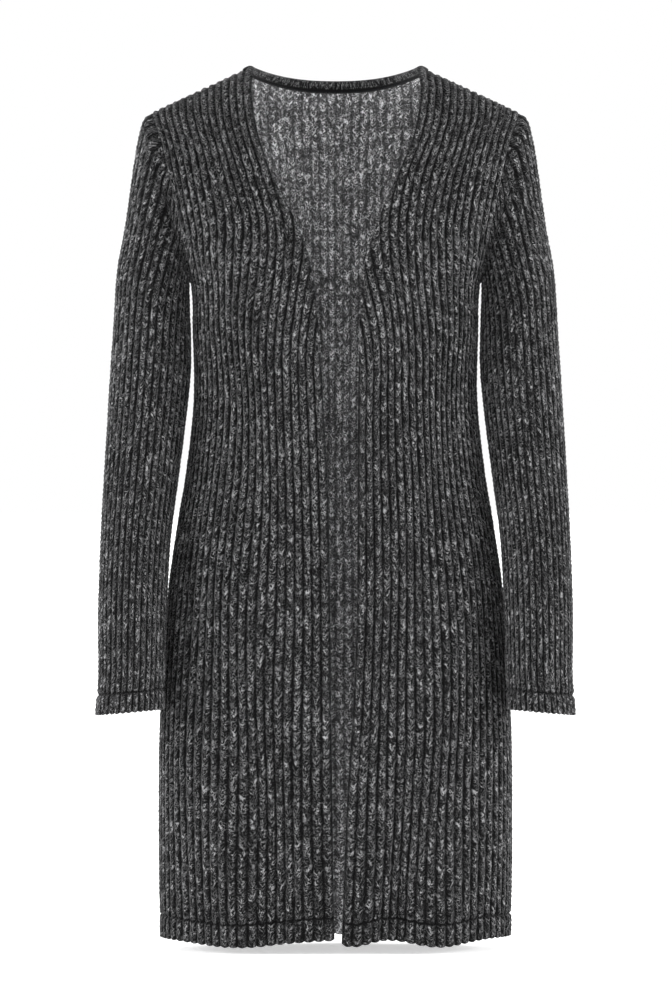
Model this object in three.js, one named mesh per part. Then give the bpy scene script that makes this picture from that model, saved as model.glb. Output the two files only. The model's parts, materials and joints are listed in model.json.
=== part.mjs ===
// A long open cardigan in a chunky vertical rib, standing hollow as it does when it is worn.
// Two fronts, a back, two set-in sleeves and a narrow band round the back of the neck.
// Millimetres. +Z is up, -Y is the front and +X is the wearer's left.
// The origin lies midway between the middles of the two shoulder seams.
import * as THREE from "three";

// The knitted wall: its thickness in the furrows, and how far a rib stands up over them.
const WALL = 2.0;
const RIB_RISE = 1.6;
const CREST = WALL + RIB_RISE;
const SEAM_GAP = 0.4;

// Ribs from a side seam to a front edge or to the middle of the back, and the last of them that
// reaches the shoulder seam. The first few are bound off at the underarm, and the ones past the
// shoulder end on the V or on the back neck.
const FRONT_RIBS = { count: 24, corner: 18 };
const BACK_RIBS = { count: 26, corner: 15 };
const RIBS_UNDERARM = 4;
const RIBS_SLEEVE = 34;

// The turned hem: how deep it is, how far its stitching sinks, and the reach of the sunk line.
const HEM_TURN = 20;
const HEM_SINK = 0.8;
const HEM_SINK_REACH = 6;
const HEM_LEVEL = -864;

// The shoulder line runs from the tip of the shoulder up to the side of the neck.
const SHOULDER_TIP = { x: 186, z: -30.5 };
const NECK_SIDE = { x: 84, z: 16.3 };
const SHOULDER_ROUND = 95;

// The armhole: the underarm, and the height at which its lower curve has turned upright.
const UNDERARM_Z = -202;
const ARMHOLE_TURN_Z = -165;
const V_START_Z = -243;
const YOKE_Z = -115;

// The back neck edge, and the band that stands on it.
const BACK_NECK = { half: 93, middleZ: -5.8, curve: 2.4 };
const BAND = { half: 84, middleZ: 5.4, sideZ: 17.2, thickness: 4.2 };

// Level sections of the trunk outside the cloth: half width, depth to the front and to the back,
// and the power of the rounded outline. Above the underarm the half width runs on past the
// armhole, so that the chest stays round there.
const TRUNK = [
  { z: -890, half: 178, front: 112, back: 118, power: 2.45 },
  { z: -780, half: 180, front: 113, back: 121, power: 2.45 },
  { z: -650, half: 179, front: 112, back: 123, power: 2.45 },
  { z: -520, half: 171, front: 108, back: 116, power: 2.4 },
  { z: -454, half: 162, front: 105, back: 107, power: 2.35 },
  { z: -393, half: 152, front: 103, back: 98, power: 2.3 },
  { z: -321, half: 144.5, front: 104, back: 91, power: 2.3 },
  { z: -250, half: 145.5, front: 114, back: 95, power: 2.3 },
  { z: -202, half: 148, front: 120, back: 99, power: 2.3 },
  { z: -150, half: 169, front: 116, back: 101, power: 2.3 },
  { z: -120, half: 181, front: 109, back: 100, power: 2.3 },
  { z: -90, half: 192, front: 100, back: 96, power: 2.25 },
  { z: -60, half: 206, front: 90, back: 90, power: 2.2 },
  { z: -27, half: 216, front: 80, back: 82, power: 2.1 },
  { z: 25, half: 220, front: 66, back: 70, power: 2.0 },
];

// The armhole seam as it is seen from the front.
const ARMHOLE = [
  { z: -202, x: 146 },
  { z: -180, x: 149 },
  { z: -153, x: 154 },
  { z: -122, x: 161.5 },
  { z: -87, x: 169 },
  { z: -56, x: 177 },
  { z: -30.5, x: 186 },
  { z: 25, x: 186 },
];

// How far each front edge stays from the middle. The opening is a long V that all but closes at
// the hem, and it hangs a little to the wearer's left.
const FRONT_EDGE = [
  { z: -890, right: 1.5, left: 6.5 },
  { z: -800, right: 3, left: 9.5 },
  { z: -715, right: 4, left: 13 },
  { z: -640, right: 5, left: 18 },
  { z: -541, right: 6, left: 22 },
  { z: -427, right: 8, left: 23 },
  { z: -324, right: 13, left: 23.5 },
  { z: -243, right: 18, left: 25 },
  { z: -189, right: 25, left: 29 },
  { z: -145, right: 39, left: 42 },
  { z: -103, right: 61, left: 59.5 },
  { z: -56, right: 78, left: 79 },
  { z: -20, right: 84.5, left: 86 },
  { z: 0, right: 85.5, left: 86.5 },
  { z: 25, right: 82, left: 82 },
];

// Soft folds that grow towards the hem: the panel, the place at the hem and at the top of the
// fold, the height of the top, the width, and the depth, which is negative for a trough.
const FOLDS = [
  { panel: "front_right", x: 64, topX: 72, topZ: -560, width: 24, depth: -9 },
  { panel: "front_right", x: 108, topX: 104, topZ: -520, width: 30, depth: 7 },
  { panel: "front_right", x: 24, topX: 22, topZ: -600, width: 22, depth: 5 },
  { panel: "front_left", x: 62, topX: 70, topZ: -580, width: 22, depth: -9 },
  { panel: "front_left", x: 106, topX: 100, topZ: -540, width: 30, depth: 7 },
  { panel: "front_left", x: 27, topX: 26, topZ: -620, width: 20, depth: 5 },
  { panel: "back", x: -104, topX: -90, topZ: -520, width: 34, depth: 7 },
  { panel: "back", x: -52, topX: -40, topZ: -470, width: 30, depth: -10 },
  { panel: "back", x: 6, topX: 2, topZ: -560, width: 30, depth: 6 },
  { panel: "back", x: 60, topX: 52, topZ: -540, width: 26, depth: -8 },
  { panel: "back", x: 112, topX: 104, topZ: -590, width: 32, depth: 5 },
];

// Where the hem dips: the panel, the place, the width and the drop.
const HEM_DIPS = [
  { panel: "front_right", x: 98, width: 60, drop: 8.5 },
  { panel: "front_left", x: 105, width: 34, drop: 8 },
  { panel: "front_left", x: 18, width: 20, drop: 7 },
  { panel: "back", x: -96, width: 44, drop: 5 },
  { panel: "back", x: 8, width: 40, drop: 6 },
  { panel: "back", x: 110, width: 36, drop: 4 },
];

// Rings of a sleeve inside the cloth, from the cap to the cuff: the outermost and innermost point
// seen from the front, half the depth, and how far the middle lies forward.
const SLEEVE = [
  { outX: 193, outZ: -38, inX: 152, inZ: -194.5, depth: 45, forward: 2 },
  { outX: 199, outZ: -62, inX: 152.4, inZ: -203, depth: 50, forward: 1 },
  { outX: 204, outZ: -95, inX: 152.4, inZ: -215, depth: 51.5, forward: 2 },
  { outX: 211, outZ: -145, inX: 151.8, inZ: -232, depth: 53, forward: 4 },
  { outX: 219, outZ: -190, inX: 151, inZ: -255, depth: 53, forward: 6 },
  { outX: 223, outZ: -250, inX: 150.8, inZ: -290, depth: 52, forward: 9 },
  { outX: 227.4, outZ: -320, inX: 155, inZ: -335, depth: 50, forward: 16 },
  { outX: 231.5, outZ: -395, inX: 163, inZ: -400, depth: 47, forward: 27 },
  { outX: 235, outZ: -465, inX: 171, inZ: -465, depth: 44, forward: 41 },
  { outX: 237, outZ: -540, inX: 174.5, inZ: -540, depth: 42, forward: 55 },
  { outX: 236.6, outZ: -600, inX: 175.8, inZ: -596, depth: 41, forward: 62 },
  { outX: 237.6, outZ: -617, inX: 176.6, inZ: -611, depth: 41, forward: 64 },
  { outX: 239, outZ: -638.5, inX: 177.2, inZ: -632.5, depth: 41.5, forward: 66 },
];
const CUFF_SINK_RING = SLEEVE.length - 2;

const clamp = (value, low, high) => Math.min(high, Math.max(low, value));
const mix = (a, b, share) => a + (b - a) * share;
const smooth = (share) => {
  const s = clamp(share, 0, 1);
  return s * s * (3 - 2 * s);
};

// A table's columns at a height, on a smooth curve through its rows.
function at(rows, z) {
  const last = rows.length - 1;
  const rising = rows[last].z > rows[0].z;
  const height = clamp(z, rows[rising ? 0 : last].z, rows[rising ? last : 0].z);
  let i = 0;
  while (i < last - 1 && rows[i + 1].z < height === rising) i += 1;
  const [a, b] = [rows[i], rows[i + 1]];
  const before = rows[Math.max(0, i - 1)];
  const after = rows[Math.min(last, i + 2)];
  const step = b.z - a.z;
  const t = (height - a.z) / step;
  const found = {};
  for (const key of Object.keys(a)) {
    if (key === "z") continue;
    const slopeA = ((b[key] - before[key]) / (b.z - before.z)) * step;
    const slopeB = ((after[key] - a[key]) / (after.z - a.z)) * step;
    found[key] =
      (2 * t ** 3 - 3 * t ** 2 + 1) * a[key] +
      (t ** 3 - 2 * t ** 2 + t) * slopeA +
      (3 * t ** 2 - 2 * t ** 3) * b[key] +
      (t ** 3 - t ** 2) * slopeB;
  }
  return found;
}

// The height of the shoulder line above a place beside the middle.
function shoulderZ(x) {
  const slope = (NECK_SIDE.z - SHOULDER_TIP.z) / (SHOULDER_TIP.x - NECK_SIDE.x);
  return SHOULDER_TIP.z + (SHOULDER_TIP.x - x) * slope;
}

// The height to which the cloth rises over a place: the shoulder line, levelled off between the
// sides of the neck.
function crownZ(x) {
  return shoulderZ(x < NECK_SIDE.x ? (x * x) / NECK_SIDE.x / 2 + NECK_SIDE.x / 2 : x);
}

// How far a panel's inner face lies from the plane of the side seams. Places on the back are
// given to either side of the middle, with the wearer's left as plus in the table of folds.
function depthAt(panel, x, z) {
  const row = at(TRUNK, z);
  const half = row.half - CREST;
  const share = clamp(x / half, 0, 1);
  const rounded = (1 - share ** row.power) ** (1 / row.power);
  const under = clamp((crownZ(x) - z) / SHOULDER_ROUND, 0, 1);
  const reach = row[panel.side] - CREST;
  let depth = reach * rounded * Math.sqrt(1 - (1 - under) ** 2);
  const place = panel.name === "back" ? panel.hand * x : x;
  for (const fold of FOLDS) {
    if (fold.panel !== panel.name) continue;
    const down = smooth((fold.topZ - z) / (fold.topZ - HEM_LEVEL));
    const off = (place - mix(fold.topX, fold.x, down)) / fold.width;
    depth += fold.depth * down * Math.exp(-off * off) * rounded;
  }
  return depth;
}

// The hem's height at a place beside the middle.
function hemZ(panel, x) {
  const place = panel.name === "back" ? panel.hand * x : x;
  let z = HEM_LEVEL;
  for (const dip of HEM_DIPS) {
    if (dip.panel === panel.name) z -= dip.drop * Math.exp(-(((place - dip.x) / dip.width) ** 2));
  }
  return z;
}

// Arc lengths round a level section, from the side seam to a place beside the middle.
const ARC_STEPS = 120;
function sectionArcs(panel, z, innerX) {
  const half = at(TRUNK, z).half - CREST;
  const startTurn = Math.acos(clamp(innerX / half, 0, 1));
  const found = [{ x: half, arc: 0 }];
  let last = new THREE.Vector2(half, depthAt(panel, half, z));
  for (let i = 1; i <= ARC_STEPS; i += 1) {
    const x = half * Math.cos((startTurn * i) / ARC_STEPS);
    const here = new THREE.Vector2(x, depthAt(panel, x, z));
    found.push({ x, arc: found[i - 1].arc + here.distanceTo(last) });
    last = here;
  }
  return found;
}

function xAtArc(arcs, arc) {
  let i = 1;
  while (i < arcs.length - 1 && arcs[i].arc < arc) i += 1;
  const [a, b] = [arcs[i - 1], arcs[i]];
  return mix(a.x, b.x, clamp((arc - a.arc) / (b.arc - a.arc), 0, 1));
}

function arcAtX(arcs, x) {
  let i = 1;
  while (i < arcs.length - 1 && arcs[i].x > x) i += 1;
  const [a, b] = [arcs[i - 1], arcs[i]];
  return mix(a.arc, b.arc, clamp((x - a.x) / (b.x - a.x), 0, 1));
}

// Where a rib runs at a height: evenly spaced from the side seam up to the underarm, and from the
// armhole to the inner edge over it.
function ribX(panel, rib, z) {
  const inner = panel.innerX(z);
  const edgeRib = panel.edgeRib(z);
  const yokeShare = (rib - RIBS_UNDERARM) / (edgeRib - RIBS_UNDERARM);
  if (z > YOKE_Z) {
    const low = ribX(panel, rib, YOKE_Z);
    const lowArm = at(ARMHOLE, YOKE_Z).x;
    const share = (low - lowArm) / (panel.innerX(YOKE_Z) - lowArm);
    const even = mix(share, yokeShare, smooth((z - YOKE_Z) / (NECK_SIDE.z - YOKE_Z)));
    return mix(at(ARMHOLE, z).x, inner, even);
  }
  const arcs = sectionArcs(panel, z, inner);
  const whole = arcs[arcs.length - 1].arc;
  const belowArc = (whole * RIBS_UNDERARM) / edgeRib;
  const turn = smooth((z - UNDERARM_Z) / (ARMHOLE_TURN_Z - UNDERARM_Z));
  const armArc = mix(belowArc, arcAtX(arcs, at(ARMHOLE, z).x), turn);
  if (rib <= RIBS_UNDERARM) return xAtArc(arcs, (armArc * rib) / RIBS_UNDERARM);
  return xAtArc(arcs, mix(armArc, whole, yokeShare));
}

// The height between two others up to which a test holds.
function heightUpTo(from, to, holds) {
  let [low, high] = [from, to];
  for (let i = 0; i < 30; i += 1) {
    const middle = (low + high) / 2;
    if (holds(middle)) low = middle;
    else high = middle;
  }
  return low;
}

// The height at which a rib ends: on the underarm curve, the V, the back neck or the shoulder.
function ribTopZ(panel, rib) {
  if (rib < RIBS_UNDERARM) {
    const share = rib / RIBS_UNDERARM;
    return UNDERARM_Z + (ARMHOLE_TURN_Z - UNDERARM_Z) * (1 - Math.sqrt(1 - share * share));
  }
  if (rib === RIBS_UNDERARM) return SHOULDER_TIP.z;
  if (endsOnV(panel, rib)) return heightUpTo(V_START_Z, YOKE_Z, (z) => rib < panel.edgeRib(z));
  return heightUpTo(YOKE_Z, NECK_SIDE.z + 1, (z) => z < panel.topZ(ribX(panel, rib, z)));
}

const endsOnV = (panel, rib) => panel.side === "front" && rib > FRONT_RIBS.corner;

// Heights at which every rib is drawn, and the drops below the shoulder or the neck, which lie
// closer where the cloth rounds over.
const BODY_LEVELS = [-700, -560, -440, -330, V_START_Z, UNDERARM_Z];
const YOKE_LEVELS = [ARMHOLE_TURN_Z, YOKE_Z];
const YOKE_DROPS = [62, 36, 16, 4, 0];
const V_CLEARANCE = 6;

function ribHeights(panel, rib) {
  const hem = hemZ(panel, ribX(panel, rib, HEM_LEVEL));
  const heights = [hem, hem + HEM_TURN, hem + HEM_TURN + HEM_SINK_REACH, ...BODY_LEVELS];
  const top = ribTopZ(panel, rib);
  if (rib < RIBS_UNDERARM) return [...heights.slice(0, -1), top];
  if (endsOnV(panel, rib)) {
    return [...[...heights, ...YOKE_LEVELS].filter((z) => z < top - V_CLEARANCE), top];
  }
  return [...heights, ...YOKE_LEVELS, ...YOKE_DROPS.map((drop) => top - drop)];
}
const HEM_SINK_ROW = 1;
const UNDERARM_ROW = 3 + BODY_LEVELS.length - 1;
const YOKE_ROW = UNDERARM_ROW + YOKE_LEVELS.length;

// A rib's line on a panel's inner face, from the hem to its top.
function ribLine(panel, rib) {
  const out = panel.side === "front" ? -1 : 1;
  const points = ribHeights(panel, rib).map((z) => {
    const x = ribX(panel, rib, z);
    return new THREE.Vector3(panel.hand * x, out * (depthAt(panel, x, z) + SEAM_GAP / 2), z);
  });
  const whole = rib >= RIBS_UNDERARM && !endsOnV(panel, rib);
  const onShoulder = rib >= RIBS_UNDERARM && rib <= panel.ribs.corner;
  return { rib, hand: panel.hand, crest: rib % 1 !== 0, whole, onShoulder, points };
}

// A closed wall made of vertices and faces, with its inner face plain.
class Wall {
  constructor() {
    this.points = [];
    this.faces = [];
  }

  add(point) {
    this.points.push(point.clone());
    return this.points.length - 1;
  }

  face(a, b, c) {
    if (a !== b && b !== c && a !== c) this.faces.push([a, b, c]);
  }

  // Faces between two rows of vertices, along the shorter diagonals. Rows of one length are joined
  // place by place.
  zip(lower, upper, flip) {
    const gap = (a, b) => this.points[a].distanceTo(this.points[b]);
    const even = lower.length === upper.length;
    let [i, j] = [0, 0];
    while (i < lower.length - 1 || j < upper.length - 1) {
      const atLowerEnd = i === lower.length - 1 || (even && i > j);
      const atUpperEnd = j === upper.length - 1 || (even && j > i);
      const lowerNext = atLowerEnd ? Infinity : gap(lower[i + 1], upper[j]);
      const upperNext = atUpperEnd ? Infinity : gap(lower[i], upper[j + 1]);
      const onLower = lowerNext <= upperNext;
      const [a, b] = [lower[i], upper[j]];
      if (onLower) i += 1;
      else j += 1;
      const third = onLower ? lower[i] : upper[j];
      if (flip) this.face(b, a, third);
      else this.face(a, b, third);
    }
  }

  geometry() {
    const found = new THREE.BufferGeometry();
    const flat = this.points.flatMap((point) => point.toArray());
    found.setAttribute("position", new THREE.Float32BufferAttribute(flat, 3));
    found.setIndex(this.faces.flat());
    found.computeVertexNormals();
    return found;
  }
}

// Unit normals of a surface at its vertices, as the mean of the faces round each.
function surfaceNormals(wall) {
  const geometry = wall.geometry();
  const normals = geometry.getAttribute("normal");
  return wall.points.map((_, i) => new THREE.Vector3().fromBufferAttribute(normals, i));
}

// The last row up to which a rib line that reaches the shoulder faces a neighbour that doesn't:
// the foot of the armhole's upright part, or the top of the V's lower part.
const facingRow = (neighbour) => (neighbour.rib < RIBS_UNDERARM ? UNDERARM_ROW + 1 : YOKE_ROW);

// Joins the rows of vertices of two neighbouring rib lines, as far as they face each other.
function zipLines(wall, lineA, rowA, lineB, rowB, flip) {
  const reach = (line, other, row) => {
    return line.whole && !other.whole ? row.slice(0, facingRow(other) + 1) : row;
  };
  wall.zip(reach(lineA, lineB, rowA), reach(lineB, lineA, rowB), flip);
}

// A panel's wall from its rib lines, which run from one edge to the other. The inner face runs from
// furrow to furrow.
function panelWall(lines, faceOut) {
  const base = new Wall();
  const index = lines.map((line) => line.points.map((point) => base.add(point)));
  for (let c = 0; c < lines.length - 1; c += 1) {
    zipLines(base, lines[c], index[c], lines[c + 1], index[c + 1], faceOut);
  }
  const normals = surfaceNormals(base);

  lines.forEach((line, c) => {
    index[c].forEach((v, row) => {
      const onSeam = line.rib === 0 || (row === index[c].length - 1 && line.onShoulder);
      if (onSeam) normals[v].y = 0;
      if (row === 0) normals[v].z = 0;
      normals[v].normalize();
    });
  });

  const wall = new Wall();
  const outer = lines.map((line, c) =>
    index[c].map((v, row) => {
      const sink = row === HEM_SINK_ROW ? HEM_SINK : 0;
      const height = (line.crest ? CREST : WALL) - sink;
      return wall.add(base.points[v].clone().addScaledVector(normals[v], height));
    }),
  );
  const kept = lines.map((_, c) => c).filter((c) => !lines[c].crest);
  const inner = new Map(kept.map((c) => [c, lines[c].points.map((point) => wall.add(point))]));

  for (let c = 0; c < lines.length - 1; c += 1) {
    zipLines(wall, lines[c], outer[c], lines[c + 1], outer[c + 1], faceOut);
  }
  kept.slice(1).forEach((c, i) => {
    const before = kept[i];
    zipLines(wall, lines[before], inner.get(before), lines[c], inner.get(c), !faceOut);
  });

  const rim = boundary(lines);
  const corners = rim.map(([c], i) => (inner.has(c) ? i : -1)).filter((i) => i >= 0);
  corners.forEach((from, i) => {
    const to = corners[(i + 1) % corners.length] + (i === corners.length - 1 ? rim.length : 0);
    const place = (i) => rim[i % rim.length];
    const [startColumn, startRow] = place(from);
    const [endColumn, endRow] = place(to);
    const start = inner.get(startColumn)[startRow];
    const end = inner.get(endColumn)[endRow];
    const along = [];
    for (let i = from; i <= to; i += 1) along.push(outer[place(i)[0]][place(i)[1]]);
    wall.zip([start, end], along, faceOut);
  });
  return { wall, lines, outer, inner };
}

// The edge of a panel as pairs of column and row: up the first line, along the tops, down the last
// line and back along the hem. Beside a line that ends lower, it runs up or down the whole line's
// side, which is the armhole's upright part or the V's upper part.
function boundary(lines) {
  const edge = [];
  const top = (c) => lines[c].points.length - 1;
  const last = lines.length - 1;
  for (let row = 0; row <= top(0); row += 1) edge.push([0, row]);
  for (let c = 1; c <= last; c += 1) {
    const [before, here] = [lines[c - 1], lines[c]];
    if (here.whole && !before.whole) {
      for (let row = facingRow(before); row < top(c); row += 1) edge.push([c, row]);
    }
    if (before.whole && !here.whole) {
      for (let row = top(c - 1) - 1; row >= facingRow(here); row -= 1) edge.push([c - 1, row]);
    }
    edge.push([c, top(c)]);
  }
  for (let row = top(last) - 1; row >= 0; row -= 1) edge.push([last, row]);
  for (let c = last - 1; c > 0; c -= 1) edge.push([c, 0]);
  return edge;
}

const ribSteps = (ribs) => Array.from({ length: 2 * ribs.count + 1 }, (_, i) => i / 2);

// A front, from the side seam to its edge. hand is -1 for the wearer's right and 1 for the left.
function frontPanel(name, hand, column) {
  const innerX = (z) => at(FRONT_EDGE, z)[column];
  const edgeRib = (z) => {
    const opened = (innerX(z) - innerX(V_START_Z)) / (innerX(YOKE_Z) - innerX(V_START_Z));
    return mix(FRONT_RIBS.count, FRONT_RIBS.corner, clamp(opened, 0, 1));
  };
  const panel = { name, hand, side: "front", ribs: FRONT_RIBS, innerX, edgeRib, topZ: shoulderZ };
  const lines = ribSteps(FRONT_RIBS).map((rib) => ribLine(panel, rib));
  return panelWall(lines, hand > 0);
}

// The back neck edge's height beside the middle, or the shoulder line outside the neck.
function backTopZ(x) {
  if (x >= BACK_NECK.half) return shoulderZ(x);
  const rise = shoulderZ(BACK_NECK.half) - BACK_NECK.middleZ;
  return BACK_NECK.middleZ + rise * (x / BACK_NECK.half) ** BACK_NECK.curve;
}

// The back, from the wearer's right side seam to the left one.
function backPanel() {
  const half = (hand) => {
    const panel = {
      name: "back",
      hand,
      side: "back",
      ribs: BACK_RIBS,
      innerX: () => 0,
      edgeRib: () => BACK_RIBS.count,
      topZ: backTopZ,
    };
    return ribSteps(BACK_RIBS).map((rib) => ribLine(panel, rib));
  };
  const lines = [...half(-1), ...half(1).reverse().slice(1)];
  return panelWall(lines, true);
}

// A panel's armhole edge from the underarm to the shoulder tip, as points of both faces.
function armholeEdge(panel, hand) {
  const columns = panel.lines
    .map((line, c) => ({ line, c }))
    .filter(({ line }) => line.hand === hand && line.rib <= RIBS_UNDERARM)
    .sort((a, b) => a.line.rib - b.line.rib);
  return columns.flatMap(({ line, c }) => {
    const last = line.points.length - 1;
    const first = line.rib === RIBS_UNDERARM ? UNDERARM_ROW + 1 : last;
    return line.points.slice(first).map((point, i) => ({
      base: point.clone(),
      outer: panel.wall.points[panel.outer[c][first + i]].clone(),
    }));
  });
}

// Places at even steps along a path of paired points, from its start up to but not at its end.
function evenly(path, count) {
  const reach = [0];
  for (let i = 1; i < path.length; i += 1) {
    reach.push(reach[i - 1] + path[i].base.distanceTo(path[i - 1].base));
  }
  const whole = reach[reach.length - 1];
  return Array.from({ length: count }, (_, step) => {
    const along = (whole * step) / count;
    let i = 1;
    while (reach[i] < along) i += 1;
    const share = (along - reach[i - 1]) / (reach[i] - reach[i - 1]);
    const between = (key) => path[i - 1][key].clone().lerp(path[i][key], share);
    return { base: between("base"), outer: between("outer") };
  });
}

// The seam loop of a sleeve, from the shoulder tip down the front to the underarm and up the back,
// clear of the body by the seam gap and divided evenly on either side.
function seamLoop(front, back, hand) {
  const down = armholeEdge(front, hand).reverse();
  const up = armholeEdge(back, hand);
  for (const corner of [down[0], down[down.length - 1]]) {
    for (const point of [corner.base, corner.outer]) point.y = 0;
  }
  const loop = [...down, ...up.slice(1, -1)];
  const clear = loop.map((here, i) => {
    const before = loop[(i + loop.length - 1) % loop.length];
    const after = loop[(i + 1) % loop.length];
    const along = after.base.clone().sub(before.base).normalize();
    const normal = here.outer.clone().sub(here.base).normalize();
    const away = normal.cross(along).normalize().multiplyScalar(hand * SEAM_GAP);
    return { base: here.base.clone().add(away), outer: here.outer.clone().add(away) };
  });
  const underarm = down.length - 1;
  const frontWay = clear.slice(0, underarm + 1);
  const backWay = [...clear.slice(underarm), clear[0]];
  return [...evenly(frontWay, RIBS_SLEEVE), ...evenly(backWay, RIBS_SLEEVE)];
}

// One ring of a sleeve on its inner face, from the outermost point round the front.
function sleeveRing(row, hand) {
  const count = 2 * RIBS_SLEEVE;
  const outmost = new THREE.Vector3(hand * row.outX, -row.forward, row.outZ);
  const inmost = new THREE.Vector3(hand * row.inX, -row.forward, row.inZ);
  const middle = outmost.clone().add(inmost).multiplyScalar(0.5);
  const across = outmost.clone().sub(inmost).multiplyScalar(0.5);
  return Array.from({ length: count }, (_, i) => {
    const turn = (2 * Math.PI * i) / count;
    const point = middle.clone().addScaledVector(across, Math.cos(turn));
    point.y -= row.depth * Math.sin(turn);
    return point;
  });
}

// A sleeve: rings from the seam loop to the cuff, ribbed outside and plain inside. The inner face
// runs from furrow to furrow, so it has one vertex for every two of the outer face's.
const SLEEVE_INNER_STEP = 2;
function sleeveWall(front, back, hand) {
  const loop = seamLoop(front, back, hand);
  const flip = hand > 0;
  const closed = (row) => [...row, row[0]];
  const zipRings = (wall, rings, flipped) => {
    rings.slice(1).forEach((ring, i) => wall.zip(closed(rings[i]), closed(ring), flipped));
  };

  const base = new Wall();
  const seam = loop.map((place) => base.add(place.base));
  const rings = SLEEVE.map((row) => sleeveRing(row, hand).map((point) => base.add(point)));
  zipRings(base, [seam, ...rings], flip);
  const normals = surfaceNormals(base);

  const wall = new Wall();
  const outer = rings.map((ring, row) =>
    ring.map((v, i) => {
      const sink = row === CUFF_SINK_RING ? HEM_SINK : 0;
      const height = (i % 2 ? CREST : WALL) - sink;
      return wall.add(base.points[v].clone().addScaledVector(normals[v], height));
    }),
  );
  outer.unshift(loop.map((place) => wall.add(place.outer)));
  const inner = [seam, ...rings].map((ring) =>
    ring.filter((_, i) => i % SLEEVE_INNER_STEP === 0).map((v) => wall.add(base.points[v])),
  );
  zipRings(wall, outer, flip);
  zipRings(wall, inner, !flip);

  const last = rings.length;
  for (const [row, flipped] of [[0, !flip], [last, flip]]) {
    const [outerRow, innerRow] = [closed(outer[row]), closed(inner[row])];
    innerRow.slice(1).forEach((v, i) => {
      const from = i * SLEEVE_INNER_STEP;
      const along = outerRow.slice(from, from + SLEEVE_INNER_STEP + 1);
      wall.zip(along, [innerRow[i], v], flipped);
    });
  }
  return wall;
}

// The band that stands on the back neck edge, from one shoulder seam to the other.
function neckBand(back) {
  const stations = back.lines
    .map((line, c) => ({ line, c }))
    .filter(({ line }) => line.rib >= BACK_RIBS.corner && !line.crest);
  const wall = new Wall();
  const rings = stations.map(({ line, c }) => {
    const low = line.points[line.points.length - 1];
    const beside = Math.abs(low.x) / BACK_NECK.half;
    const highX = (low.x * BAND.half) / BACK_NECK.half;
    const highZ = mix(BAND.middleZ, BAND.sideZ, beside ** BACK_NECK.curve);
    const panel = { name: "band", side: "back" };
    const highY = depthAt(panel, Math.abs(highX), highZ) + SEAM_GAP / 2;
    const high = new THREE.Vector3(highX, highY, highZ);
    const up = high.clone().sub(low);
    const out = back.wall.points[back.outer[c][line.points.length - 1]].clone().sub(low).normalize();
    const clear = up.clone().addScaledVector(out, -up.dot(out)).normalize();
    const start = low.clone().addScaledVector(clear, SEAM_GAP);
    const corner = (upShare, outShare) =>
      start.clone().addScaledVector(up, upShare).addScaledVector(out, outShare * BAND.thickness);
    return [corner(0, 0), corner(0, 1), corner(0.8, 1), corner(1, 0.65), corner(1, 0.3), corner(0.85, 0)];
  });
  const index = rings.map((ring) => ring.map((point) => wall.add(point)));
  index.slice(1).forEach((ring, i) => {
    wall.zip([...index[i], index[i][0]], [...ring, ring[0]], true);
  });
  const cap = (ring, flip) => {
    for (let i = 1; i < ring.length - 1; i += 1) {
      if (flip) wall.face(ring[0], ring[i + 1], ring[i]);
      else wall.face(ring[0], ring[i], ring[i + 1]);
    }
  };
  cap(index[0], true);
  cap(index[index.length - 1], false);
  return wall;
}

const knit = (colour) =>
  new THREE.MeshStandardMaterial({ color: colour, roughness: 0.95, metalness: 0 });

const frontRight = frontPanel("front_right", -1, "right");
const frontLeft = frontPanel("front_left", 1, "left");
const back = backPanel();

const pieces = [
  ["front_right", frontRight.wall, knit(0x3c3c3d)],
  ["front_left", frontLeft.wall, knit(0x3c3c3d)],
  ["back", back.wall, knit(0x3c3c3d)],
  ["sleeve_right", sleeveWall(frontRight, back, -1), knit(0x3a3a3b)],
  ["sleeve_left", sleeveWall(frontLeft, back, 1), knit(0x3a3a3b)],
  ["neck_band", neckBand(back), knit(0x2c2c2d)],
];

const cardigan = new THREE.Group();
for (const [name, wall, material] of pieces) {
  const mesh = new THREE.Mesh(wall.geometry(), material);
  mesh.name = name;
  cardigan.add(mesh);
}

export default cardigan;
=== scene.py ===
"""A long open cardigan in a chunky rib, in its hollow worn form, and a plain studio."""

import functools
import json

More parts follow.
